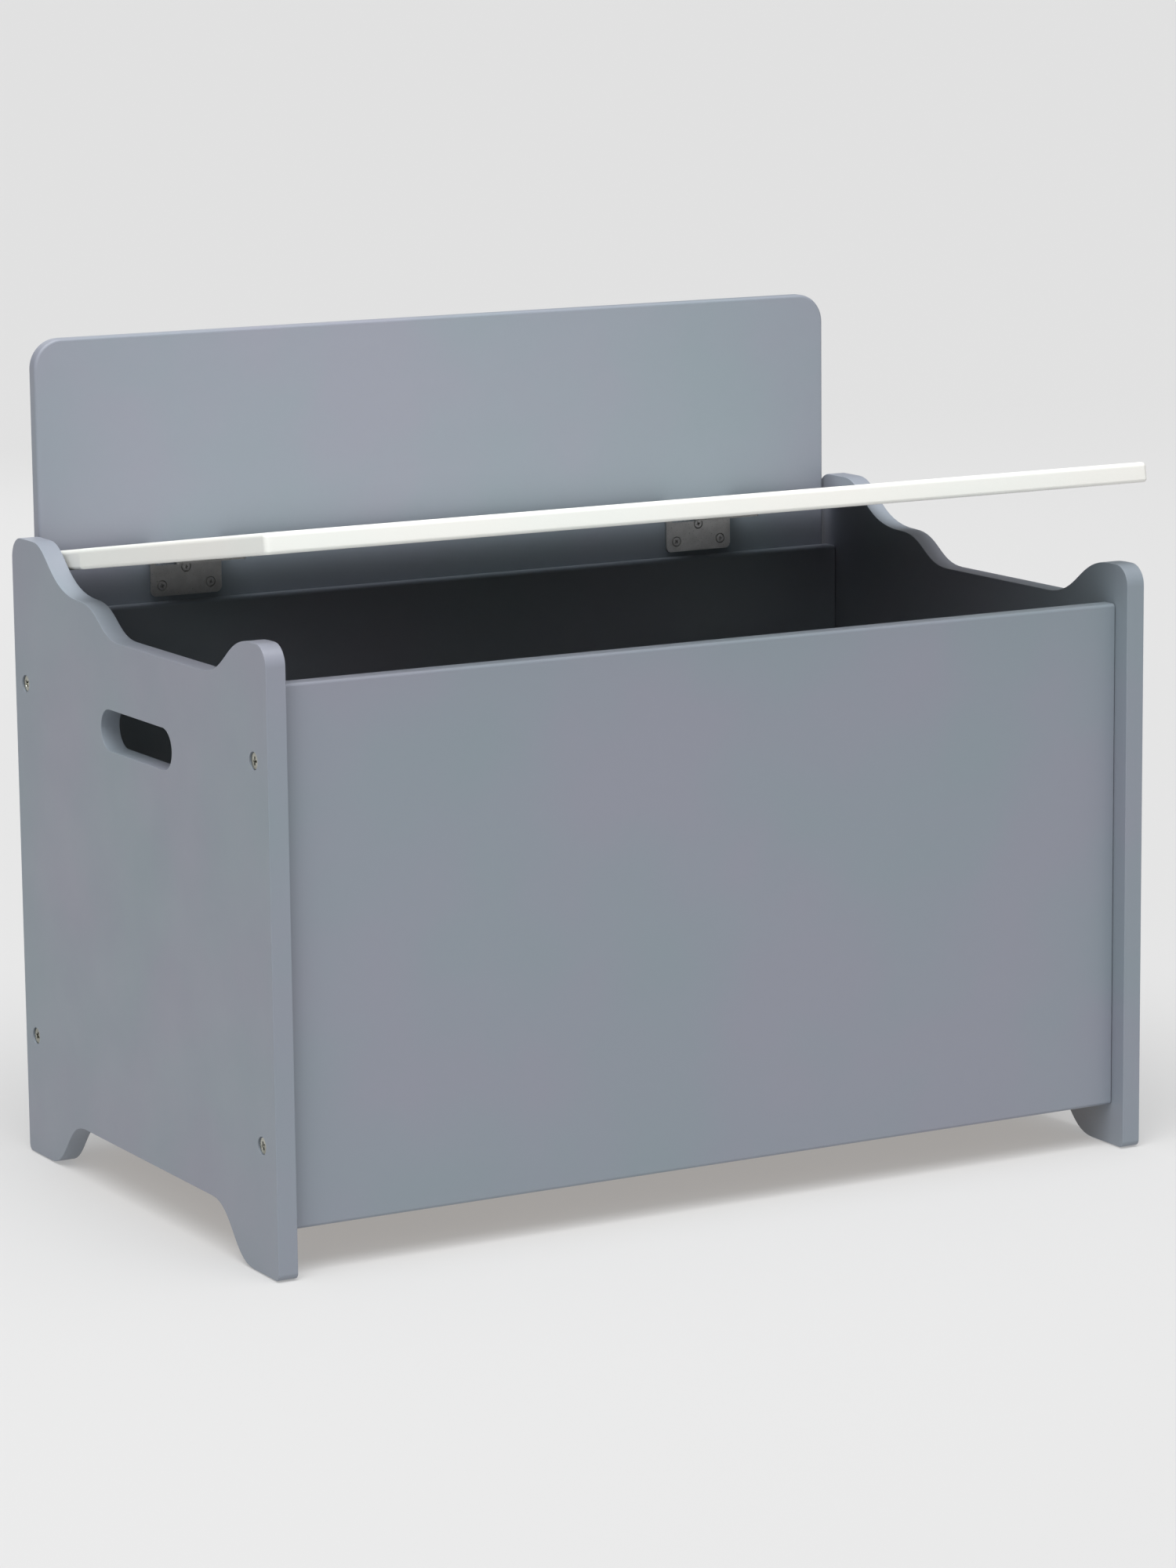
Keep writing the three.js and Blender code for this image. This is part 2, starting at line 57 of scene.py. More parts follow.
BOARD_ROUNDING = 2.0 * MM       # on the front panel, the back panel and the backrest
SIDE_ROUNDING = 3.0 * MM
LID_TOP_ROUNDING = 3.0 * MM
LID_UNDER_ROUNDING = 2.2 * MM
END_ROUNDING = 0.8 * MM         # where a board butts against its neighbour
BATTEN_ARRIS = 1.0 * MM
ROUND_STEPS = 5                 # facets round a rounded edge

# The side panel's outline, as (distance behind its front edge, height).
FOOT = 0.6 * MM
FOOT_LENGTH = 34 * MM
FOOT_BEND = 55 * MM
FOOT_CORNER = 4 * MM
ARCH = 32.5 * MM
FRONT_SHOULDER = 375 * MM
FRONT_CORNER = 13 * MM
FRONT_SHOULDER_END = 20 * MM
SCOOP = 350 * MM
SCOOP_START = 88 * MM
SCOOP_END = 205 * MM
LEDGE = 262 * MM
LEDGE_HEIGHT = 369 * MM
REAR_TURN = 309 * MM            # steepest part of the bend up to the rear shoulder
REAR_SHOULDER = 398 * MM
REAR_SHOULDER_START = 333 * MM
REAR_CORNER = 14 * MM

HAND_SLOT_LENGTH = 103 * MM
HAND_SLOT_HEIGHT = 25.5 * MM
HAND_SLOT_Z = 294.6 * MM

BACKREST_TOP_CORNER = 19 * MM
BACKREST_BOTTOM_CORNER = 6 * MM
LID_CORNER = 3.5 * MM
LID_SHOULDER_GAP = 1.8 * MM     # lid tongue to side panel, in a rear notch

GLIDE_THICKNESS = 2 * MM
GLIDE_ROUNDING = 0.8 * MM
SPIKE_RADIUS = 1.2 * MM
SPIKE_POINT = 1.5 * MM
FLOOR_EASING = 0.4 * MM

SCREW_SINK = 0.9 * MM           # how far a head sits below the paint
HOLE_GAP = 0.5 * MM             # round a screw, in its hole
HEAD_LIP = 0.4 * MM             # straight edge of a head, above its taper

HINGE_PLATE = 1.5 * MM
HINGE_KNUCKLE = 3.8 * MM
HINGE_BORE = 1.85 * MM
HINGE_KNUCKLES = 5
HINGE_KNUCKLE_GAP = 0.4 * MM
HINGE_EASING = 0.25 * MM
PIN_RADIUS = 1.5 * MM
PIN_HEAD_DOME = 0.6 * MM
PIN_HEAD_WIDENING = 1.65        # head to pin, in radius
LEAF_CORNER = 4 * MM
LEAF_SCREW_X = 17 * MM
BACK_LEAF_SCREWS = (-24 * MM, -13 * MM)     # far and near, below the axis
LID_LEAF_SCREWS = (-29 * MM, -16 * MM)      # far and near, in front of the axis

lid_joint = frame["joints"][0]
AXIS = Vector(lid_joint["pos_m"])
AJAR = radians(-lid_joint["range_deg"][0])
OPEN_LID = Matrix.Translation(AXIS) @ Matrix.Rotation(-AJAR, 4, "X") @ Matrix.Translation(-AXIS)
CLOSE_LID = OPEN_LID.inverted()


# ---- Bench work ---------------------------------------------------------------

def put_down():
    """Leaves edit mode, with nothing selected."""
    if bpy.context.mode != "OBJECT":
        bpy.ops.object.mode_set(mode="OBJECT")
    bpy.ops.object.select_all(action="DESELECT")


def take_up(piece):
    put_down()
    piece.select_set(True)
    bpy.context.view_layer.objects.active = piece


def fix_place(name):
    """Names the new primitive and moves its place into its mesh."""
    piece = bpy.context.object
    piece.name = name
    bpy.ops.object.transform_apply(location=True, rotation=True, scale=True)
    return piece


def block(name, low, high):
    put_down()
    low, high = Vector(low), Vector(high)
    bpy.ops.mesh.primitive_cube_add(size=1, location=(low + high) / 2, scale=high - low)
    return fix_place(name)


def rod(name, radius, low, high, sides=32, axis="Z"):
    """A round bar between two points on a line along one axis."""
    put_down()
    low, high = Vector(low), Vector(high)
    turn = {"X": (0, pi / 2, 0), "Y": (pi / 2, 0, 0), "Z": (0, 0, 0)}[axis]
    bpy.ops.mesh.primitive_cylinder_add(
        vertices=sides, radius=radius, depth=(high - low).length,
        location=(low + high) / 2, rotation=turn)
    return fix_place(name)


def select_parts(piece, kind, test):
    """In edit mode, with only the points, edges or faces for which the test is true."""
    take_up(piece)
    bpy.ops.object.mode_set(mode="EDIT")
    bpy.ops.mesh.select_mode(type=kind)
    bpy.ops.mesh.select_all(action="DESELECT")
    bpy.ops.object.mode_set(mode="OBJECT")
    mesh = piece.data
    if kind == "VERT":
        for point in mesh.vertices:
            point.select = test(point.co)
    elif kind == "EDGE":
        for edge in mesh.edges:
            edge.select = test(*(mesh.vertices[i].co for i in edge.vertices))
    else:
        for face in mesh.polygons:
            face.select = test(face.center, face.normal)
    bpy.ops.object.mode_set(mode="EDIT")


def round_edges(piece, radius, test, steps=ROUND_STEPS):
    """Rounds the edges for which the test on their two ends is true."""
    select_parts(piece, "EDGE", test)
    bpy.ops.mesh.bevel(offset=radius, segments=steps, profile=0.5, affect="EDGES", clamp_overlap=True)
    put_down()


def round_rims(piece, radius, steps=ROUND_STEPS):
    """Rounds every edge that is square or nearly so."""
    take_up(piece)
    bpy.ops.object.mode_set(mode="EDIT")
    bpy.ops.mesh.select_mode(type="EDGE")
    bpy.ops.mesh.select_all(action="DESELECT")
    bpy.ops.mesh.edges_select_sharp(sharpness=radians(60))
    bpy.ops.mesh.bevel(offset=radius, segments=steps, profile=0.5, affect="EDGES", clamp_overlap=True)
    put_down()


def clear_flats(piece):
    """Dissolves the edges that cutting leaves across flat faces."""
    take_up(piece)
    bpy.ops.object.mode_set(mode="EDIT")
    bpy.ops.mesh.select_all(action="SELECT")
    bpy.ops.mesh.dissolve_limited(angle_limit=radians(1))
    put_down()


def near(a, b):
    return abs(a - b) < MM / 10


def upright(a, b):
    return near(a.x, b.x) and near(a.y, b.y)


def across(a, b):
    """An edge that runs along Y."""
    return near(a.x, b.x) and near(a.z, b.z)


def lengthwise(a, b):
    """An edge that runs along X."""
    return near(a.y, b.y) and near(a.z, b.z)


def level_at(height):
    """A test for edges that lie at one height."""
    return lambda a, b: near(a.z, height) and near(b.z, height)


def facing_down(centre, normal):
    return normal.z < -0.9


def carve(piece, tool, operation="DIFFERENCE"):
    """Cuts a tool shape out of a piece, or joins it on, and puts the tool away."""
    take_up(piece)
    cut = piece.modifiers.new("cut", "BOOLEAN")
    cut.operation = operation
    cut.solver = "EXACT"
    cut.object = tool
    bpy.ops.object.modifier_apply(modifier=cut.name)
    bpy.data.objects.remove(tool)


def smooth(piece, angle=40):
    """Smooth shading over rounded edges, while broad faces stay flat."""
    take_up(piece)
    bpy.ops.object.shade_smooth_by_angle(angle=radians(angle))
    even = piece.modifiers.new("even", "WEIGHTED_NORMAL")
    even.keep_sharp = True
    bpy.ops.object.modifier_apply(modifier=even.name)
    put_down()


def copy_of(piece, name, placing):
    """A copy with a mesh of its own, moved by a matrix."""
    twin = piece.copy()
    twin.data = piece.data.copy()
    twin.data.transform(placing)
    twin.name = name
    bpy.context.scene.collection.objects.link(twin)
    return twin


def put_on(piece, finish, slot, body, *nodes):
    """Paints a finished piece, and lets it stand for its CAD nodes."""
    piece.data.materials.clear()
    piece.data.materials.append(finish)
    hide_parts(*nodes)
    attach(piece, body)


# ---- Finishes -----------------------------------------------------------------

class Finish:
    """A material and the few nodes that its surface is built from."""

    def __init__(self, name, colour, roughness, metallic=0.0):
        self.material = bpy.data.materials.new(name)
        self.material.use_nodes = True
        self.tree = self.material.node_tree
        self.shader = self.tree.nodes["Principled BSDF"]
        self.shader.inputs["Base Color"].default_value = (*colour, 1)
        self.shader.inputs["Roughness"].default_value = roughness
        self.shader.inputs["Metallic"].default_value = metallic
        self.coordinates = self.tree.nodes.new("ShaderNodeTexCoord")
        self.height = None

    def link(self, source, target):
        self.tree.links.new(source, target)

    def stretched(self, scale):
        """Object coordinates scaled differently along each axis."""
        mapping = self.tree.nodes.new("ShaderNodeMapping")
        mapping.inputs["Scale"].default_value = scale
        self.link(self.coordinates.outputs["Object"], mapping.inputs["Vector"])
        return mapping.outputs["Vector"]

    def noise(self, scale, detail=2.0, along=(1, 1, 1), distortion=0.0):
        noise = self.tree.nodes.new("ShaderNodeTexNoise")
        noise.inputs["Scale"].default_value = scale
        noise.inputs["Detail"].default_value = detail
        noise.inputs["Distortion"].default_value = distortion
        self.link(self.stretched(along), noise.inputs["Vector"])
        return noise.outputs["Fac"]

    def between(self, value, low, high, start=0.3, end=0.7):
        """Spreads a 0 to 1 value over a range."""
        spread = self.tree.nodes.new("ShaderNodeMapRange")
        spread.inputs["From Min"].default_value = start
        spread.inputs["From Max"].default_value = end
        spread.inputs["To Min"].default_value = low
        spread.inputs["To Max"].default_value = high
        self.link(value, spread.inputs["Value"])
        return spread.outputs["Result"]

    def tones(self, value, *stops):
        """A colour that follows a value through (position, colour) stops."""
        ramp = self.tree.nodes.new("ShaderNodeValToRGB")
        elements = ramp.color_ramp.elements
        while len(elements) < len(stops):
            elements.new(0.5)
        for element, (position, colour) in zip(elements, stops):
            element.position = position
            element.color = (*colour, 1)
        self.link(value, ramp.inputs["Fac"])
        return ramp.outputs["Color"]

    def blend(self, value, first, second, mode="MIX"):
        mix = self.tree.nodes.new("ShaderNodeMix")
        mix.data_type = "RGBA"
        mix.blend_type = mode
        self.link(value, mix.inputs["Factor"])
        self.link(first, mix.inputs[6])
        self.link(second, mix.inputs[7])
        return mix.outputs[2]

    def colour_from(self, colour):
        self.link(colour, self.shader.inputs["Base Color"])

    def roughness_from(self, value):
        self.link(value, self.shader.inputs["Roughness"])

    def raise_by(self, value, depth, strength=1.0):
        """Adds a bump of the given depth in metres on top of those before it."""
        bump = self.tree.nodes.new("ShaderNodeBump")
        bump.inputs["Distance"].default_value = depth
        bump.inputs["Strength"].default_value = strength
        self.link(value, bump.inputs["Height"])
        if self.height:
            self.link(self.height, bump.inputs["Normal"])
        self.height = bump.outputs["Normal"]
        self.link(self.height, self.shader.inputs["Normal"])


def satin_paint(name, cool, plain, warm, roughness):
    """Sprayed satin paint on fibreboard: faint clouding, orange peel and fine dust nibs."""
    paint = Finish(name, plain, roughness)
    cloud = paint.noise(7, detail=3)
    paint.colour_from(paint.tones(cloud, (0.36, cool), (0.5, plain), (0.64, warm)))
    sheen = paint.noise(22, detail=3)
    paint.roughness_from(paint.between(sheen, roughness - 0.04, roughness + 0.05))
    paint.raise_by(paint.noise(420, detail=1), 0.06 * MM, 0.35)
    paint.raise_by(paint.noise(1600, detail=2), 0.02 * MM, 0.3)
    paint.shader.inputs["Specular IOR Level"].default_value = 0.45
    return paint.material


def bare_wood(name, along):
    """Planed softwood: rings drawn out along the batten, with fine pores."""
    stretch = [(1.0, 14.0)[axis not in along] for axis in "xyz"]
    wood = Finish(name, (0.62, 0.42, 0.22), 0.62)
    rings = wood.noise(9, detail=5, along=stretch, distortion=0.6)
    pores = wood.noise(60, detail=4, along=[value * 1.6 if value > 1 else 0.5 for value in stretch])
    early = wood.tones(
        rings, (0.3, (0.50, 0.30, 0.135)), (0.5, (0.64, 0.43, 0.22)), (0.7, (0.73, 0.53, 0.30)))
    late = wood.tones(rings, (0.3, (0.38, 0.21, 0.09)), (0.7, (0.60, 0.39, 0.19)))
    wood.colour_from(wood.blend(wood.between(pores, 0.0, 0.6, 0.45, 0.7), early, late))
    wood.roughness_from(wood.between(pores, 0.55, 0.72))
    wood.raise_by(pores, 0.12 * MM, 0.5)
    return wood.material


def fibreboard():
    """Pressed fibreboard: brown, speckled with chips of light and dark fibre."""
    board = Finish("fibreboard", (0.38, 0.25, 0.13), 0.8)
    specks = board.noise(700, detail=3)
    fibres = board.noise(160, detail=4, along=(0.4, 1, 1), distortion=1.2)
    light = board.tones(
        specks, (0.35, (0.26, 0.16, 0.08)), (0.5, (0.38, 0.25, 0.13)), (0.66, (0.52, 0.38, 0.22)))
    dark = board.tones(specks, (0.4, (0.20, 0.12, 0.06)), (0.6, (0.34, 0.22, 0.115)))
    board.colour_from(board.blend(board.between(fibres, 0.0, 0.7), light, dark))
    board.roughness_from(board.between(specks, 0.72, 0.88))
    board.raise_by(fibres, 0.15 * MM, 0.5)
    return board.material


def plated_steel(name, colour, dull, roughness):
    """Plated steel with a drawn, slightly clouded surface."""
    steel = Finish(name, colour, roughness, metallic=1.0)
    cloud = steel.noise(120, detail=2)
    drawn = steel.noise(1500, detail=3, along=(1, 0.1, 1))
    steel.colour_from(steel.tones(cloud, (0.35, dull), (0.6, colour)))
    steel.roughness_from(steel.between(drawn, roughness - 0.04, roughness + 0.08))
    steel.raise_by(drawn, 0.01 * MM, 0.3)
    return steel.material


def moulded_nylon():
    nylon = Finish("moulded nylon", (0.05, 0.05, 0.055), 0.5)
    grain = nylon.noise(1800, detail=2)
    nylon.colour_from(nylon.tones(grain, (0.3, (0.04, 0.04, 0.045)), (0.7, (0.065, 0.065, 0.07))))
    nylon.roughness_from(nylon.between(grain, 0.42, 0.58))
    nylon.raise_by(grain, 0.03 * MM, 0.5)
    return nylon.material


GREY_PAINT = satin_paint(
    "grey satin paint", (0.238, 0.280, 0.316), (0.247, 0.276, 0.320), (0.258, 0.271, 0.322), 0.42)
WHITE_PAINT = satin_paint(
    "white satin paint", (0.785, 0.808, 0.771), (0.80, 0.808, 0.771), (0.808, 0.804, 0.766), 0.38)
LONG_GRAIN = bare_wood("softwood, grain across", "x")
SHORT_GRAIN = bare_wood("softwood, grain front to back", "y")
FIBREBOARD = fibreboard()
SCREW_STEEL = plated_steel("zinc-plated screw", (0.42, 0.42, 0.37), (0.24, 0.24, 0.20), 0.22)
HINGE_STEEL = plated_steel("nickel-plated hinge", (0.74, 0.74, 0.73), (0.66, 0.66, 0.65), 0.3)
NYLON = moulded_nylon()


# ---- Screws -------------------------------------------------------------------

def countersunk_screw(head, shank, length):
    """A screw at the origin, head flush with z = 0 and point down, with a cross recess."""
    neck = head - shank
    tip = 1.5 * shank
    piece = rod("screw", head, (0, 0, -HEAD_LIP), (0, 0, 0), sides=40)
    for drop, size in ((neck, shank / head), (length - HEAD_LIP - neck - tip, 1), (tip, 0.08)):
        select_parts(piece, "FACE", facing_down)
        bpy.ops.mesh.extrude_region_move(TRANSFORM_OT_translate={"value": (0, 0, -drop)})
        bpy.ops.transform.resize(value=(size, size, 1))
        put_down()
    round_edges(piece, 0.25 * MM, lambda a, b: a.z > -MM / 100 and b.z > -MM / 100, steps=3)
    arm, width, depth = 0.62 * head, 0.15 * head, 0.62 * head
    for turn in (0, pi / 2):
        cutter = block("recess", (-arm, -width, -depth), (arm, width, MM))
        select_parts(cutter, "VERT", lambda point: point.z < 0)
        bpy.ops.transform.resize(value=(0.42, 0.6, 1))
        put_down()
        cutter.data.transform(Matrix.Rotation(turn, 4, "Z"))
        carve(piece, cutter)
    smooth(piece, 35)
    return piece


def screw_hole(head, shank, length, sink=0.0):
    """The shape that a screw's hole takes out, with the same datum as the screw."""
    lip = HEAD_LIP + sink
    wide = head + HOLE_GAP
    narrow = shank + HOLE_GAP
    piece = rod("hole", wide, (0, 0, -lip), (0, 0, 3 * MM), sides=40)
    for drop, size in ((head - shank, narrow / wide), (length - head + shank, 1)):
        select_parts(piece, "FACE", facing_down)
        bpy.ops.mesh.extrude_region_move(TRANSFORM_OT_translate={"value": (0, 0, -drop)})
        bpy.ops.transform.resize(value=(size, size, 1))
        put_down()
    return piece


def pointing(into, at):
    """Turns a screw's downward direction to `into` and moves its head to `at`."""
    turn = Vector((0, 0, -1)).rotation_difference(Vector(into)).to_matrix().to_4x4()
    return Matrix.Translation(at) @ turn


def head_place(node, into):
    """The middle of a straight screw's head, from its CAD node."""
    low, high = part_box(node)
    place = (low + high) / 2
    for axis, step in enumerate(into):
        if step:
            place[axis] = (low if step > 0 else high)[axis]
    return place


SIDE_SCREW = (5 * MM, 2 * MM, 45 * MM)
BACKREST_SCREW = (4 * MM, 1.9 * MM, 20 * MM)
BATTEN_SCREW = (3.4 * MM, 1.6 * MM, 24 * MM)
BACK_LEAF_SCREW = (2.9 * MM, 1.3 * MM, 8 * MM)
LID_LEAF_SCREW = (2.9 * MM, 1.3 * MM, 10 * MM)

RIGHTWARD, LEFTWARD = (1, 0, 0), (-1, 0, 0)
BACKWARD, FORWARD = (0, 1, 0), (0, -1, 0)
INWARD = {"left": RIGHTWARD, "right": LEFTWARD}
OUTWARD = {"left": LEFTWARD, "right": RIGHTWARD}

side_screws = {
    f"{side}_{end}_{level}_screw": INWARD[side]
    for side in INWARD for end in ("front", "back") for level in ("lower", "upper")}
backrest_screws = {
    f"backrest_{column}_{level}_screw": FORWARD
    for column in ("left", "middle", "right") for level in ("lower", "upper")}
batten_screws = {
    **{f"front_batten_{hand}_screw": FORWARD for hand in INWARD},
    **{f"back_batten_{hand}_screw": BACKWARD for hand in INWARD},
    **{f"{hand}_batten_{end}_screw": OUTWARD[hand] for hand in INWARD for end in ("front", "back")}}
back_leaf_screws = {
    f"{hand}_hinge_back_screw_{number}": BACKWARD for hand in INWARD for number in (1, 2, 3)}
lid_leaf_screws = [
    f"{hand}_hinge_lid_screw_{number}" for hand in INWARD for number in (1, 2, 3)]


def drill(piece, size, screws, sink=0.0):
    """Cuts the holes of the named screws into a piece."""
    hole = screw_hole(*size, sink)
    for node, into in screws.items():
        place = head_place(node, into)
        carve(piece, copy_of(hole, "hole", pointing(into, place)))
    bpy.data.objects.remove(hole)


def fit_screws(size, screws, finish, slot, sink):
    """One screw is modelled and copied to each place."""
    pattern = countersunk_screw(*size)
    for count, (node, into) in enumerate(screws.items()):
        place = head_place(node, into) + Vector(into) * sink
        spin = Matrix.Rotation(radians(20 + 67 * count), 4, "Z")
        piece = copy_of(pattern, f"{node}_fine", pointing(into, place) @ spin)
        put_on(piece, finish, slot, "box", node)
    bpy.data.objects.remove(pattern)


# ---- Side panels --------------------------------------------------------------

def bend(points, to_y, to_z, turn=None, steps=16):
    """Continues an outline with an S-bend that is level at both ends."""
    from_y, from_z = points[-1]
    middle = (from_y + to_y) / 2 if turn is None else turn
    for step in range(1, steps + 1):
        t = step / steps
        s = 1 - t
        y = s**3 * from_y + 3 * s * s * t * middle + 3 * s * t * t * middle + t**3 * to_y
        z = (s**3 + 3 * s * s * t) * from_z + (3 * s * t * t + t**3) * to_z
        points.append((y, z))


def corner(points, centre_y, centre_z, radius, start, steps=9):
    """Continues an outline with a quarter turn, anticlockwise from a start angle in degrees."""
    for step in range(steps + 1):
        angle = radians(start + 90 * step / steps)
        points.append((centre_y + radius * cos(angle), centre_z + radius * sin(angle)))


def side_outline(depth):
    points = [(FOOT_LENGTH, FOOT)]
    bend(points, FOOT_LENGTH + FOOT_BEND, ARCH)
    points.append((depth - FOOT_LENGTH - FOOT_BEND, ARCH))
    bend(points, depth - FOOT_LENGTH, FOOT)
    corner(points, depth - FOOT_CORNER, FOOT + FOOT_CORNER, FOOT_CORNER, -90)
    corner(points, depth - REAR_CORNER, REAR_SHOULDER - REAR_CORNER, REAR_CORNER, 0)
    points.append((REAR_SHOULDER_START, REAR_SHOULDER))
    bend(points, LEDGE, LEDGE_HEIGHT, REAR_TURN)
    bend(points, SCOOP_END, SCOOP)
    points.append((SCOOP_START, SCOOP))
    bend(points, FRONT_SHOULDER_END, FRONT_SHOULDER)
    corner(points, FRONT_CORNER, FRONT_SHOULDER - FRONT_CORNER, FRONT_CORNER, 90)
    corner(points, FOOT_CORNER, FOOT + FOOT_CORNER, FOOT_CORNER, 180)
    return points


def outline_board(name, low, high):
    """A board cut to the side panel's outline: one point drawn round it, filled and thickened."""
    places = [Vector((low.x, low.y + y, z)) for y, z in side_outline(high.y - low.y)]
    put_down()
    bpy.ops.mesh.primitive_plane_add(size=MM, location=places[0])
    piece = fix_place(name)
    bpy.ops.object.mode_set(mode="EDIT")
    bpy.ops.mesh.select_mode(type="VERT")
    bpy.ops.mesh.select_all(action="SELECT")
    bpy.ops.mesh.merge(type="CENTER")
    for here, there in zip(places, places[1:] + places[:1]):
        bpy.ops.mesh.extrude_vertices_move(TRANSFORM_OT_translate={"value": there - here})
    bpy.ops.mesh.select_all(action="SELECT")
    bpy.ops.mesh.remove_doubles(threshold=MM / 50)
    bpy.ops.mesh.edge_face_add()
    bpy.ops.mesh.extrude_region_move(TRANSFORM_OT_translate={"value": (high.x - low.x, 0, 0)})
    bpy.ops.mesh.select_all(action="SELECT")
    bpy.ops.mesh.normals_make_consistent(inside=False)
    put_down()
    return piece


def hand_slot_tool(low, high):
    """A bar with fully rounded ends, longer than the panel is thick."""
    middle = (low.y + high.y) / 2
    radius = HAND_SLOT_HEIGHT / 2
    tool = block(
        "hand slot",
        (low.x - MM, middle - HAND_SLOT_LENGTH / 2, HAND_SLOT_Z - radius),
        (high.x + MM, middle + HAND_SLOT_LENGTH / 2, HAND_SLOT_Z + radius))
    round_edges(tool, radius * 0.999, lengthwise, steps=12)
    return tool


def side_panel(side):
    node = f"{side}_side_panel"
    low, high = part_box(node)
    panel = outline_board(f"{node}_fine", low, high)
    carve(panel, hand_slot_tool(low, high))
    round_rims(panel, SIDE_ROUNDING)
    own_screws = {name: into for name, into in side_screws.items() if name.startswith(side)}
    drill(panel, SIDE_SCREW, own_screws, SCREW_SINK)
    drill_battens(panel, f"{side}_batten")
    smooth(panel)
    put_on(panel, GREY_PAINT, "grey_paint", "box", node)


def drill_battens(piece, batten):
    """Cuts the holes of the screws that hold one batten."""
    screws = {name: into for name, into in batten_screws.items() if name.startswith(batten)}
    drill(piece, BATTEN_SCREW, screws, SCREW_SINK / 2)


# ---- Front, back and backrest ---------------------------------------------------

def plain_panel(node):
    """A straight board, rounded along its top and bottom and eased at its ends."""
    low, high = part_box(node)
    panel = block(f"{node}_fine", low, high)
    round_edges(panel, BOARD_ROUNDING, lengthwise)

    def at_end(a, b):
        return near(a.x, b.x) and min(a.x - low.x, high.x - a.x) < MM / 10

    round_edges(panel, END_ROUNDING, at_end, steps=3)
    smooth(panel)
    put_on(panel, GREY_PAINT, "grey_paint", "box", node)


def backrest():
    low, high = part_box("backrest")
    panel = block("backrest_fine", low, high)
    middle = (low.z + high.z) / 2
    round_edges(panel, BACKREST_TOP_CORNER, lambda a, b: across(a, b) and a.z > middle, steps=16)
    round_edges(panel, BACKREST_BOTTOM_CORNER, lambda a, b: across(a, b) and a.z < middle, steps=10)
    round_rims(panel, BOARD_ROUNDING)
    drill(panel, BACKREST_SCREW, backrest_screws, SCREW_SINK / 2)
    smooth(panel)
    put_on(panel, GREY_PAINT, "grey_paint", "box", "backrest")


# ---- Floor, battens and glides --------------------------------------------------

def eased_block(node, easing, steps=3):
    piece = block(f"{node}_fine", *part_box(node))
    round_rims(piece, easing, steps)
    return piece


def floor_and_battens():
    floor = eased_block("floor_panel", FLOOR_EASING)
    smooth(floor)
    put_on(floor, FIBREBOARD, "fibreboard", "box", "floor_panel")
    grains = {"front": LONG_GRAIN, "back": LONG_GRAIN, "left": SHORT_GRAIN, "right": SHORT_GRAIN}
    for side, grain in grains.items():
        node = f"{side}_batten"
        batten = eased_block(node, BATTEN_ARRIS)
        drill_battens(batten, node)
        smooth(batten)
        put_on(batten, grain, "bare_wood", "box", node)


def foot_glides():
    """A nylon disc, the lower edge well rounded, with its spike above."""
    nodes = [f"{side}_{end}_foot_glide" for side in INWARD for end in ("front", "back")]
    low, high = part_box(nodes[0])
    centre = (low + high) / 2
    radius = (high.x - low.x) / 2
    disc = rod("glide", radius, (centre.x, centre.y, 0), (centre.x, centre.y, GLIDE_THICKNESS), sides=36)
    round_edges(disc, GLIDE_ROUNDING, lambda a, b: a.z < MM / 10 and b.z < MM / 10, steps=5)
    select_parts(disc, "FACE", lambda middle, normal: normal.z > 0.9)
    bpy.ops.mesh.inset(thickness=radius - SPIKE_RADIUS, depth=0)
    shaft = high.z - GLIDE_THICKNESS - SPIKE_POINT
    bpy.ops.mesh.extrude_region_move(TRANSFORM_OT_translate={"value": (0, 0, shaft)})
    bpy.ops.mesh.extrude_region_move(TRANSFORM_OT_translate={"value": (0, 0, SPIKE_POINT)})
    bpy.ops.transform.resize(value=(0.1, 0.1, 1))
    put_down()
    smooth(disc)
    for node in nodes:
        low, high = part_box(node)
        step = (low + high) / 2 - centre
        piece = copy_of(disc, f"{node}_fine", Matrix.Translation((step.x, step.y, 0)))
        put_on(piece, NYLON, "nylon", "box", node)
    bpy.data.objects.remove(disc)


# ---- Lid ------------------------------------------------------------------------

def closed_box(node):
    """The corners of a CAD node of the lid, measured with the lid closed."""
    points = [CLOSE_LID @ vertex.co for vertex in frame["nodes"][node].data.vertices]
    low = Vector([min(point[axis] for point in points) for axis in range(3)])
    high = Vector([max(point[axis] for point in points) for axis in range(3)])
    return low, high


def lid_screw_places():
    """Screw heads on the lid leaves, with the lid closed."""
    places = {}
    for node in lid_leaf_screws:
        low, high = closed_box(node)
        places[node] = Vector(((low.x + high.x) / 2, (low.y + high.y) / 2, low.z))
    return places


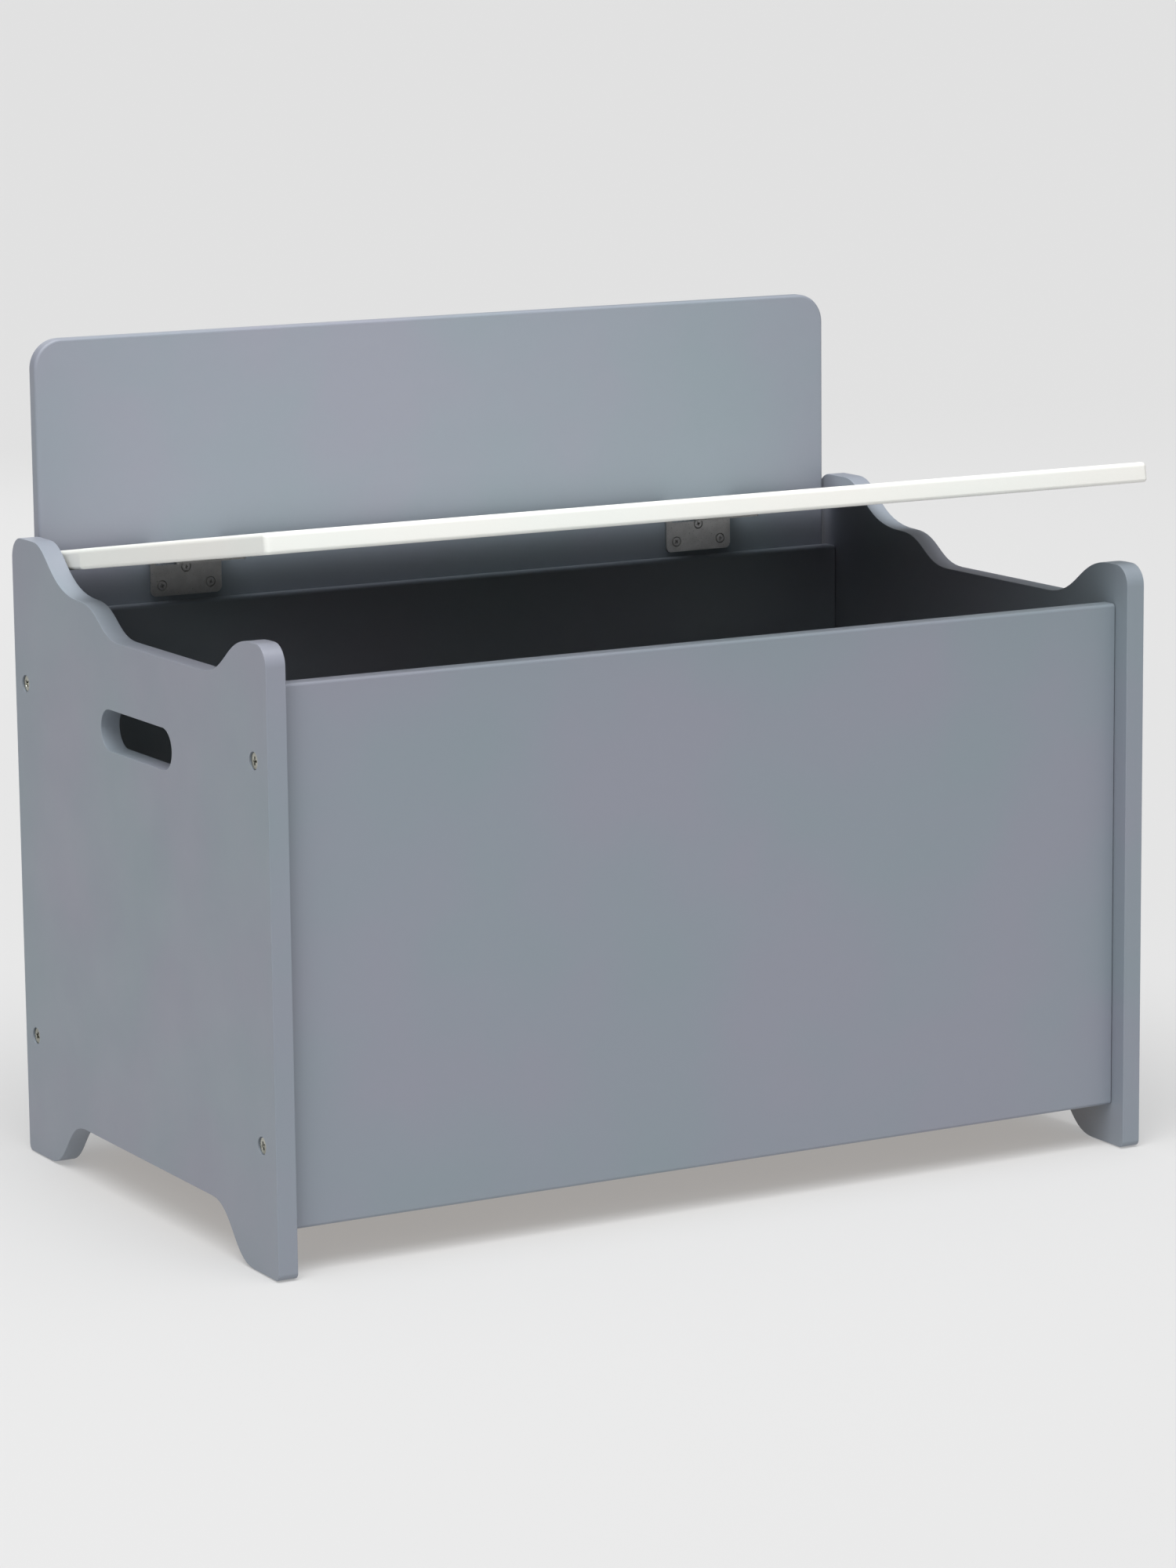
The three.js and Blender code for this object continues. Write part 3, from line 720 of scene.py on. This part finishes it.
def lid():
    """Made closed, then opened to its resting angle."""
    low, high = closed_box("lid")
    side_low, side_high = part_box("left_side_panel")
    tongue = abs(side_high.x) - LID_SHOULDER_GAP
    notch_front = side_low.y + LEDGE

    def inner(a, b):
        """The notch's own corner, where the tongue begins."""
        return upright(a, b) and abs(abs(a.x) - tongue) < MM and a.y < notch_front + MM

    def tongue_corners(a, b):
        """The corners that the notches leave on the lid."""
        at_rear = near(a.y, high.y) and near(abs(a.x), tongue)
        at_notch = near(a.y, notch_front) and near(abs(a.x), high.x)
        return upright(a, b) and (at_rear or at_notch)

    panel = block("lid_fine", low, high)
    round_edges(panel, LID_CORNER, upright, steps=8)
    for sign in (-1, 1):
        ends = sorted((sign * tongue, sign * (high.x + MM)))
        notch = block("notch", (ends[0], notch_front, low.z - MM), (ends[1], high.y + MM, high.z + MM))
        round_edges(notch, LID_CORNER, inner, steps=8)
        carve(panel, notch)
    round_edges(panel, LID_CORNER, tongue_corners, steps=8)
    clear_flats(panel)
    round_edges(panel, LID_TOP_ROUNDING, level_at(high.z), steps=7)
    round_edges(panel, LID_UNDER_ROUNDING, level_at(low.z), steps=4)
    hole = screw_hole(*LID_LEAF_SCREW)
    for place in lid_screw_places().values():
        carve(panel, copy_of(hole, "hole", pointing((0, 0, 1), place)))
    bpy.data.objects.remove(hole)
    smooth(panel)
    panel.data.transform(OPEN_LID)
    put_on(panel, WHITE_PAINT, "white_paint", "lid", "lid")


# ---- Hinges -----------------------------------------------------------------------

def knuckle(x0, x1):
    """One knuckle about the hinge axis, bored for the pin, its rims eased."""
    barrel = rod("knuckle", HINGE_KNUCKLE, (x0, 0, 0), (x1, 0, 0), sides=40, axis="X")
    bore = rod("bore", HINGE_BORE, (x0 - MM, 0, 0), (x1 + MM, 0, 0), sides=24, axis="X")
    carve(barrel, bore)
    round_rims(barrel, HINGE_EASING, steps=2)
    return barrel


def knuckle_spans(width):
    pitch = width / HINGE_KNUCKLES
    gap = HINGE_KNUCKLE_GAP / 2
    for number in range(HINGE_KNUCKLES):
        start = -width / 2 + number * pitch + (gap if number else 0)
        end = -width / 2 + (number + 1) * pitch - (gap if number < HINGE_KNUCKLES - 1 else 0)
        yield number, start, end


def leaf_holes(leaf, places, into):
    hole = screw_hole(*BACK_LEAF_SCREW)
    for place in places:
        carve(leaf, copy_of(hole, "hole", pointing(into, place)))
    bpy.data.objects.remove(hole)


def back_leaf(low, high, half, screws):
    """The leaf on the backrest: a plate with rounded lower corners, and tabs to its knuckles."""
    face, back = high.y - AXIS.y - HINGE_PLATE, high.y - AXIS.y
    bottom = low.z - AXIS.z
    top = -HINGE_KNUCKLE - 0.4 * MM
    leaf = block("leaf", (-half, face, bottom), (half, back, top))
    round_edges(leaf, LEAF_CORNER, lambda a, b: across(a, b) and a.z < bottom + MM, steps=8)
    round_rims(leaf, HINGE_EASING, steps=2)
    for number, start, end in knuckle_spans(2 * half):
        if number % 2 == 0:
            carve(leaf, block("tab", (start, face, top - MM), (end, back, 0)), "UNION")
            carve(leaf, knuckle(start, end), "UNION")
    leaf_holes(leaf, screws, BACKWARD)
    smooth(leaf, 35)
    return leaf


def lid_leaf(low, half, screws):
    """The leaf under the lid: a plate cranked up behind the lid's edge to its knuckles."""
    front = low.y - AXIS.y
    under = low.z - AXIS.z
    top = under + HINGE_PLATE
    strap = -HINGE_KNUCKLE - 0.35 * MM
    leaf = block("leaf", (-half, front, under), (half, strap, top))
    round_edges(leaf, LEAF_CORNER, lambda a, b: upright(a, b) and a.y < front + MM, steps=8)
    carve(leaf, block("strap", (-half, strap - HINGE_PLATE, under), (half, strap, 2 * MM)), "UNION")
    round_rims(leaf, HINGE_EASING, steps=2)
    for number, start, end in knuckle_spans(2 * half):
        if number % 2 == 1:
            neck = block("neck", (start, strap - 0.5 * MM, -2 * MM), (end, -2.5 * MM, 2 * MM))
            carve(leaf, neck, "UNION")
            carve(leaf, knuckle(start, end), "UNION")
    leaf_holes(leaf, screws, (0, 0, 1))
    smooth(leaf, 35)
    return leaf


def hinge_pin(half):
    """A pin with a low domed head at each end."""

    def at_tip(a, b):
        return min(abs(a.x), abs(b.x)) > reach + 0.9 * MM

    reach = half + 0.3 * MM
    pin = rod("pin", PIN_RADIUS, (-reach, 0, 0), (reach, 0, 0), sides=24, axis="X")
    for sign in (-1, 1):
        select_parts(pin, "FACE", lambda centre, normal: normal.x * sign > 0.9)
        bpy.ops.mesh.extrude_region_move(TRANSFORM_OT_translate={"value": (0, 0, 0)})
        bpy.ops.transform.resize(value=(1, PIN_HEAD_WIDENING, PIN_HEAD_WIDENING))
        bpy.ops.mesh.extrude_region_move(TRANSFORM_OT_translate={"value": (sign * MM, 0, 0)})
        put_down()
    round_edges(pin, PIN_HEAD_DOME, at_tip, steps=4)
    smooth(pin, 35)
    return pin


def hinges():
    """One hinge is modelled about the axis and copied to each side."""

    def spots(rows):
        """Three screws in a leaf: the middle one nearer the axis than the outer two."""
        return [(-LEAF_SCREW_X, rows[0]), (0, rows[1]), (LEAF_SCREW_X, rows[0])]

    low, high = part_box("left_hinge_back_leaf")
    half = (high.x - low.x) / 2
    face = high.y - AXIS.y - HINGE_PLATE
    fixed = back_leaf(low, high, half, [(x, face, z) for x, z in spots(BACK_LEAF_SCREWS)])
    lid_low = closed_box("left_hinge_lid_leaf")[0]
    under = lid_low.z - AXIS.z
    moving = lid_leaf(lid_low, half, [(x, y, under) for x, y in spots(LID_LEAF_SCREWS)])
    pin = hinge_pin(half)
    for hand in INWARD:
        low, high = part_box(f"{hand}_hinge_back_leaf")
        home = Matrix.Translation(((low.x + high.x) / 2, AXIS.y, AXIS.z))
        parts = (("back_leaf", fixed, home, "box"), ("pin", pin, home, "box"),
                 ("lid_leaf", moving, OPEN_LID @ home, "lid"))
        for part, pattern, placing, body in parts:
            node = f"{hand}_hinge_{part}"
            put_on(copy_of(pattern, f"{node}_fine", placing), HINGE_STEEL, "hinge_steel", body, node)
    for pattern in (fixed, moving, pin):
        bpy.data.objects.remove(pattern)


def lid_hinge_screws():
    pattern = countersunk_screw(*LID_LEAF_SCREW)
    for count, (node, place) in enumerate(lid_screw_places().items()):
        spin = Matrix.Rotation(radians(35 + 51 * count), 4, "Z")
        placing = OPEN_LID @ pointing((0, 0, 1), place) @ spin
        put_on(copy_of(pattern, f"{node}_fine", placing), HINGE_STEEL, "hinge_steel", "lid", node)
    bpy.data.objects.remove(pattern)


# ---- Making the box -----------------------------------------------------------------

for side in INWARD:
    side_panel(side)
plain_panel("front_panel")
plain_panel("back_panel")
backrest()
floor_and_battens()
foot_glides()
lid()
hinges()
lid_hinge_screws()
fit_screws(SIDE_SCREW, side_screws, SCREW_STEEL, "screw_steel", SCREW_SINK)
fit_screws(BACKREST_SCREW, backrest_screws, SCREW_STEEL, "screw_steel", SCREW_SINK / 2)
fit_screws(BATTEN_SCREW, batten_screws, SCREW_STEEL, "screw_steel", SCREW_SINK / 2)
fit_screws(BACK_LEAF_SCREW, back_leaf_screws, HINGE_STEEL, "hinge_steel", 0)

for node, piece in frame["nodes"].items():
    if node.endswith("_dowel"):
        for place in piece.material_slots:
            place.material = LONG_GRAIN


# ---- Studio ---------------------------------------------------------------------------

def studio_floor():
    """A wide pale floor."""
    put_down()
    bpy.ops.mesh.primitive_plane_add(size=160, location=(0, 0, -0.1 * MM))
    floor = fix_place("studio_floor")
    pale = Finish("pale floor", (0.33, 0.33, 0.33), 0.9)
    pale.shader.inputs["Specular IOR Level"].default_value = 0.0
    pale.shader.inputs["Emission Color"].default_value = (1, 1, 1, 1)
    pale.shader.inputs["Emission Strength"].default_value = 0.32
    floor.data.materials.append(pale.material)


def hang_light(name, kind, place, power):
    """A light that looks at the middle of the box."""
    lamp = bpy.data.lights.new(name, kind)
    lamp.energy = power
    holder = bpy.data.objects.new(name, lamp)
    holder.location = place
    aim = Vector((0, 0, 0.25)) - Vector(place)
    holder.rotation_euler = aim.to_track_quat("-Z", "Y").to_euler()
    holder.visible_camera = False
    bpy.context.scene.collection.objects.link(holder)
    return lamp


def soft_light(name, place, size, power):
    lamp = hang_light(name, "AREA", place, power)
    lamp.shape = "DISK"
    lamp.size = size


def broad_light(name, place, power, spread):
    """Even light from one side, as from a large and distant bank."""
    hang_light(name, "SUN", place, power).angle = radians(spread)


def studio_sky(horizon, zenith, seen):
    """Soft light all round, stronger from above, in front of a pale wall."""
    world = bpy.data.worlds.new("studio")
    world.use_nodes = True
    nodes, links = world.node_tree.nodes, world.node_tree.links
    direction = nodes.new("ShaderNodeTexCoord")
    parts = nodes.new("ShaderNodeSeparateXYZ")
    links.new(direction.outputs["Generated"], parts.inputs["Vector"])
    height = nodes.new("ShaderNodeMath")
    height.operation = "POWER"
    height.use_clamp = True
    height.inputs[1].default_value = 4
    links.new(parts.outputs["Z"], height.inputs[0])
    glow = nodes.new("ShaderNodeMapRange")
    glow.inputs["To Min"].default_value = horizon
    glow.inputs["To Max"].default_value = zenith
    links.new(height.outputs["Value"], glow.inputs["Value"])
    light = nodes["Background"]
    light.inputs["Color"].default_value = (1, 1, 1, 1)
    links.new(glow.outputs["Result"], light.inputs["Strength"])
    wall = nodes.new("ShaderNodeBackground")
    wall.inputs["Color"].default_value = (seen, seen, seen, 1)
    ray = nodes.new("ShaderNodeLightPath")
    choice = nodes.new("ShaderNodeMixShader")
    links.new(ray.outputs["Is Camera Ray"], choice.inputs["Fac"])
    links.new(light.outputs["Background"], choice.inputs[1])
    links.new(wall.outputs["Background"], choice.inputs[2])
    links.new(choice.outputs["Shader"], nodes["World Output"].inputs["Surface"])
    bpy.context.scene.world = world


def camera():
    lens = bpy.data.cameras.new("camera")
    lens.lens = 117.1
    lens.clip_end = 300
    holder = bpy.data.objects.new("camera", lens)
    yaw, pitch, roll = radians(-29.194), radians(10.327), radians(-0.602)
    turn = (Matrix.Rotation(yaw, 4, "Z") @ Matrix.Rotation(pi / 2 - pitch, 4, "X")
            @ Matrix.Rotation(roll, 4, "Z"))
    holder.matrix_world = Matrix.Translation((-1.54403, -2.77336, 0.81606)) @ turn
    bpy.context.scene.collection.objects.link(holder)
    bpy.context.scene.camera = holder


studio_floor()
studio_sky(0.15, 1.1, 0.806)
broad_light("front bank", (-0.9, -1.6, 4.6), 2.9, 50)
soft_light("front left", (-1.7, -1.6, 1.3), 1.2, 9)
soft_light("above the lid", (-0.1, -0.3, 1.25), 0.5, 2.4)
soft_light("back", (0.6, 3.2, 1.7), 2.2, 10)
camera()
bpy.context.scene.view_settings.view_transform = "Standard"
